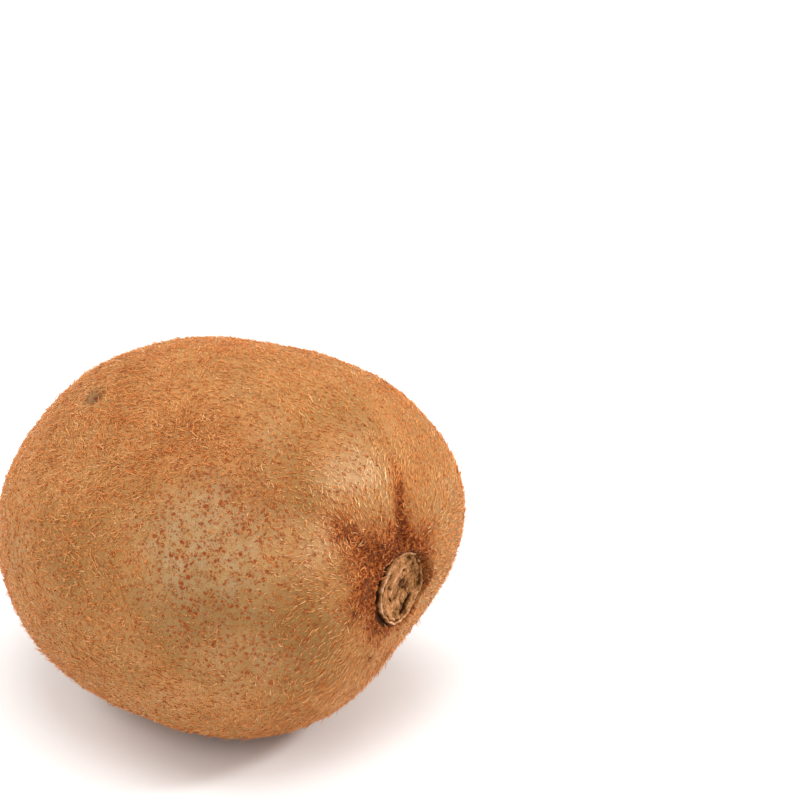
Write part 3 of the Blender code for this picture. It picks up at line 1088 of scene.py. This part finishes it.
def noise(tree, where, scale, detail, output="Fac"):
    node = tree.nodes.new("ShaderNodeTexNoise")
    for name, value in (("Vector", where), ("Scale", scale), ("Detail", detail)):
        attach(tree, value, node.inputs[name])
    return node.outputs[output]


def attribute(tree, name):
    node = tree.nodes.new("ShaderNodeAttribute")
    node.attribute_name = name
    return node.outputs["Fac"]


def remap(tree, value, low, high, to_low=0.0, to_high=1.0):
    node = tree.nodes.new("ShaderNodeMapRange")
    settings = {"Value": value, "From Min": low, "From Max": high}
    settings |= {"To Min": to_low, "To Max": to_high}
    for name, setting in settings.items():
        attach(tree, setting, node.inputs[name])
    return node.outputs["Result"]


def maths(tree, operation, first, second):
    node = tree.nodes.new("ShaderNodeMath")
    node.operation = operation
    attach(tree, first, node.inputs[0])
    attach(tree, second, node.inputs[1])
    return node.outputs[0]


def plus(tree, first, second):
    return maths(tree, "ADD", first, second)


def times(tree, first, second):
    return maths(tree, "MULTIPLY", first, second)


def blend(tree, share, first, second, way="MIX"):
    """Colours mixed by share; a colour may be three numbers or an output."""
    node = tree.nodes.new("ShaderNodeMix")
    node.data_type = "RGBA"
    node.blend_type = way
    for place_in, value in ((0, share), (6, first), (7, second)):
        attach(tree, value, node.inputs[place_in])
    return node.outputs[2]


def ramp(tree, value, stops):
    node = tree.nodes.new("ShaderNodeValToRGB")
    elements = node.color_ramp.elements
    while len(elements) < len(stops):
        elements.new(0.5)
    for element, (position, colour) in zip(elements, stops):
        element.position = position
        element.color = (*colour, 1.0)
    tree.links.new(value, node.inputs["Fac"])
    return node.outputs["Color"]


def relief(tree, height, distance_mm, strength):
    node = tree.nodes.new("ShaderNodeBump")
    node.inputs["Strength"].default_value = strength
    node.inputs["Distance"].default_value = distance_mm * METRES_PER_MM
    tree.links.new(height, node.inputs["Height"])
    return node.outputs["Normal"]


def speckles(tree, where, scale, strength):
    """Dots of uneven size, so many a millimetre, strong where the hair is thin."""
    wobble = tree.nodes.new("ShaderNodeVectorMath")
    wobble.operation = "MULTIPLY_ADD"
    tree.links.new(noise(tree, where, 1.7, 2.0, "Color"), wobble.inputs[0])
    wobble.inputs[1].default_value = (0.8, 0.8, 0.8)
    tree.links.new(where, wobble.inputs[2])
    cells = tree.nodes.new("ShaderNodeTexVoronoi")
    cells.inputs["Scale"].default_value = scale
    tree.links.new(wobble.outputs[0], cells.inputs["Vector"])
    split = tree.nodes.new("ShaderNodeSeparateColor")
    tree.links.new(cells.outputs["Color"], split.inputs[0])
    size = remap(tree, split.outputs[0], 0.1, 1.0, *SPECKLE_SIZES)
    dot = remap(tree, maths(tree, "SUBTRACT", size, cells.outputs["Distance"]), -0.06, 0.14)
    thin = remap(tree, attribute(tree, "fur"), 0.25, 1.0, strength, 0.6 * strength)
    return times(tree, dot, thin)


def skin_colour(tree, where, fine, tiny):
    """Tan under fur and paler where bare, with greener parts that are partly painted shade, dots,
    red parts, painted highlight on wax patches and painted shade in cracks and holes.
    """
    slow = remap(tree, noise(tree, where, 0.16, 4.0), 0.35, 0.65)
    furred = blend(tree, slow, (0.358, 0.181, 0.056), (0.482, 0.230, 0.077))
    bare = blend(tree, fine, (0.35, 0.195, 0.072), (0.50, 0.290, 0.118))
    patch = remap(tree, noise(tree, where, 0.5, 3.0), 0.4, 0.62, 0.0, 0.75)
    bare = blend(tree, patch, bare, (0.435, 0.31, 0.165))
    colour = blend(tree, remap(tree, attribute(tree, "fur"), 0.15, 0.9), bare, furred)
    blood = remap(tree, noise(tree, where, 2.4, 3.0), 0.45, 0.56)
    blood = blend(tree, blood, (0.12, 0.014, 0.002), (0.46, 0.125, 0.022))
    for share, over in (
        # Greener and darker: its own colour, in places painted shade.
        (times(tree, attribute(tree, "olive_and_shade"), 0.85), (0.195, 0.102, 0.021)),
        (times(tree, tiny, 0.35), (0.32, 0.115, 0.026)),
        (speckles(tree, where, 2.5, 0.7), (0.28, 0.076, 0.009)),
        (speckles(tree, where, 1.35, 1.0), (0.26, 0.049, 0.003)),
        (remap(tree, attribute(tree, "red"), 0.0, 0.75, 0.0, 0.96), blood),
        # Painted highlight: paler skin where light glances off the wax.
        (times(tree, attribute(tree, "wax_and_highlight"), 0.38), (0.82, 0.505, 0.265)),
        # Painted shade in the crack by the scar, the main crease, the pit and the dimple.
        (times(tree, attribute(tree, "shade"), 0.9), (0.055, 0.016, 0.006)),
    ):
        colour = blend(tree, share, colour, over)
    return colour


def skin_roughness(tree, fine):
    rough = remap(tree, attribute(tree, "fur"), 0.1, 0.9, 0.36, 0.65)
    rough = plus(tree, rough, remap(tree, fine, 0.0, 1.0, -0.04, 0.06))
    for field, change in (("shade", 0.5), ("red", 0.25), ("wax_and_highlight", -0.12)):
        rough = plus(tree, rough, times(tree, attribute(tree, field), change))
    return rough


def skin_material():
    material, tree, shader = new_material("skin")
    where = millimetres(tree)
    fine = remap(tree, noise(tree, where, 1.3, 5.0), 0.3, 0.7)
    tiny = remap(tree, noise(tree, where, 5.0, 3.0), 0.3, 0.7)
    tree.links.new(skin_colour(tree, where, fine, tiny), shader.inputs["Base Color"])
    tree.links.new(skin_roughness(tree, fine), shader.inputs["Roughness"])
    shader.inputs["Specular IOR Level"].default_value = 0.17
    shader.inputs["Sheen Weight"].default_value = 0.2
    shader.inputs["Sheen Roughness"].default_value = 0.45
    shader.inputs["Sheen Tint"].default_value = (1.0, 0.55, 0.22, 1.0)
    pores = plus(tree, fine, times(tree, tiny, 0.6))
    tree.links.new(relief(tree, pores, 0.12, 0.6), shader.inputs["Normal"])
    return material


def hair_material():
    """Colour by each hair's tint across the map, darker at the root along it."""
    material, tree, shader = new_material("hair")
    place_node = tree.nodes.new("ShaderNodeUVMap")
    place_node.uv_map = BAKE_MAP
    split = tree.nodes.new("ShaderNodeSeparateXYZ")
    tree.links.new(place_node.outputs[0], split.inputs[0])
    colour = ramp(tree, split.outputs["X"], HAIR_TINTS)
    along = ramp(tree, split.outputs["Y"], HAIR_ROOT_TO_TIP)
    colour = blend(tree, 1.0, colour, along, "MULTIPLY")
    tree.links.new(colour, shader.inputs["Base Color"])
    shader.inputs["Roughness"].default_value = 0.36
    shader.inputs["Specular IOR Level"].default_value = 0.18
    shader.inputs["Sheen Weight"].default_value = 0.2
    shader.inputs["Sheen Roughness"].default_value = 0.4
    shader.inputs["Sheen Tint"].default_value = (1.0, 0.58, 0.26, 1.0)
    return material


def dry_tone(tree, fine, change, stops):
    """Colour of a dried piece by its paleness, with fine noise that shifts it."""
    shift = remap(tree, fine, 0.3, 0.7, -change, change)
    return ramp(tree, plus(tree, attribute(tree, "pale"), shift), stops)


def scar_material():
    material, tree, shader = new_material("dry_wood")
    fine = noise(tree, millimetres(tree), 4.0, 5.0)
    tree.links.new(dry_tone(tree, fine, 0.13, SCAR_TONES), shader.inputs["Base Color"])
    tree.links.new(remap(tree, fine, 0.3, 0.7, 0.6, 0.85), shader.inputs["Roughness"])
    shader.inputs["Specular IOR Level"].default_value = 0.06
    tree.links.new(relief(tree, fine, 0.1, 0.7), shader.inputs["Normal"])
    return material


def styles_material():
    material, tree, shader = new_material("dry_styles")
    fine = noise(tree, millimetres(tree), 3.0, 4.0)
    tree.links.new(dry_tone(tree, fine, 0.2, STYLES_TONES), shader.inputs["Base Color"])
    shader.inputs["Roughness"].default_value = 0.7
    shader.inputs["Specular IOR Level"].default_value = 0.15
    tree.links.new(relief(tree, fine, 0.08, 0.6), shader.inputs["Normal"])
    return material


def floor_material():
    material, tree, shader = new_material("floor")
    soft = noise(tree, millimetres(tree), 0.01, 2.0)
    pale = tuple(0.985 * part for part in FLOOR_COLOUR)
    tree.links.new(blend(tree, soft, FLOOR_COLOUR, pale), shader.inputs["Base Color"])
    shader.inputs["Roughness"].default_value = 0.9
    shader.inputs["Specular IOR Level"].default_value = 0.1
    return material


MAKERS = {"skin": skin_material, "hair": hair_material}


def material_of(name):
    return bpy.data.materials.get(name) or MAKERS[name]()


# Studio


def make_floor():
    mesh = bpy.data.meshes.new("floor")
    turns = np.arange(FLOOR_SIDES) * 2.0 * np.pi / FLOOR_SIDES
    edge = [(FLOOR_RADIUS * np.cos(turn), FLOOR_RADIUS * np.sin(turn), 0.0) for turn in turns]
    mesh.from_pydata(edge, [], [range(FLOOR_SIDES)])
    mesh.materials.append(floor_material())
    new_object("floor", mesh)


def make_light(name, azimuth, elevation, distance, size, watts):
    light = bpy.data.lights.new(name, "AREA")
    light.shape = "SQUARE"
    light.size = size
    light.energy = watts
    lamp = new_object(name, light)
    side, rise = np.radians(azimuth), np.radians(elevation)
    way = Vector((np.sin(side) * np.cos(rise), -np.cos(side) * np.cos(rise), np.sin(rise)))
    lamp.location = Vector((0.0, 0.0, 0.025)) + way * distance
    lamp.rotation_euler = way.to_track_quat("Z", "Y").to_euler()


def make_world():
    world = bpy.data.worlds.new("studio")
    world.use_nodes = True
    background = world.node_tree.nodes["Background"]
    background.inputs["Color"].default_value = (1.0, 1.0, 1.0, 1.0)
    tree = world.node_tree
    split = tree.nodes.new("ShaderNodeSeparateXYZ")
    way = tree.nodes.new("ShaderNodeTexCoord").outputs["Generated"]
    tree.links.new(way, split.inputs[0])
    fade = remap(tree, split.outputs["Z"], 0.05, 0.5, HORIZON_STRENGTH, SKY_STRENGTH)
    tree.links.new(fade, background.inputs["Strength"])
    bpy.context.scene.world = world


def make_camera():
    data = bpy.data.cameras.new("camera")
    data.lens = LENS_MM
    data.sensor_width = SENSOR_MM
    data.clip_start = 0.01
    camera = new_object("camera", data)
    axes = Matrix((CAMERA_RIGHT, CAMERA_UP, CAMERA_BACK)).transposed()
    camera.matrix_world = Matrix.Translation(CAMERA_AT) @ axes.to_4x4()
    bpy.context.scene.camera = camera


def main():
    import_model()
    rng = np.random.default_rng(RANDOM_SEED)
    own, placed, groups, placed_by = skin_surface()
    skin = make_skin(own, placed, groups)
    skin.data.materials.append(material_of("skin"))
    normals = np.empty(len(own) * 3, np.float32)
    skin.data.vertex_normals.foreach_get("vector", normals)
    surface = (own, placed, normals.reshape(-1, 3).astype(float), groups[0])

    scar = make_scar(placed_by)
    scar.data.materials.append(scar_material())
    styles = make_styles(placed_by, rng)
    styles.data.materials.append(styles_material())
    for piece, node, slot in (
        (skin, "fruit", "furry_skin"),
        (scar, "stem_scar", "dry_stalk_wood"),
        (styles, "style_remains", "dry_flower_remains"),
    ):
        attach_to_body(piece, "root")
        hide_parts(node)

    make_long_hair(surface, placed_by[0], rng)
    make_short_hair(surface, placed_by[0], rng)

    make_floor()
    make_world()
    for light in LIGHTS:
        make_light(*light)
    make_camera()
    bpy.context.scene.view_settings.view_transform = "Standard"

    bpy.context.view_layer.update()


main()
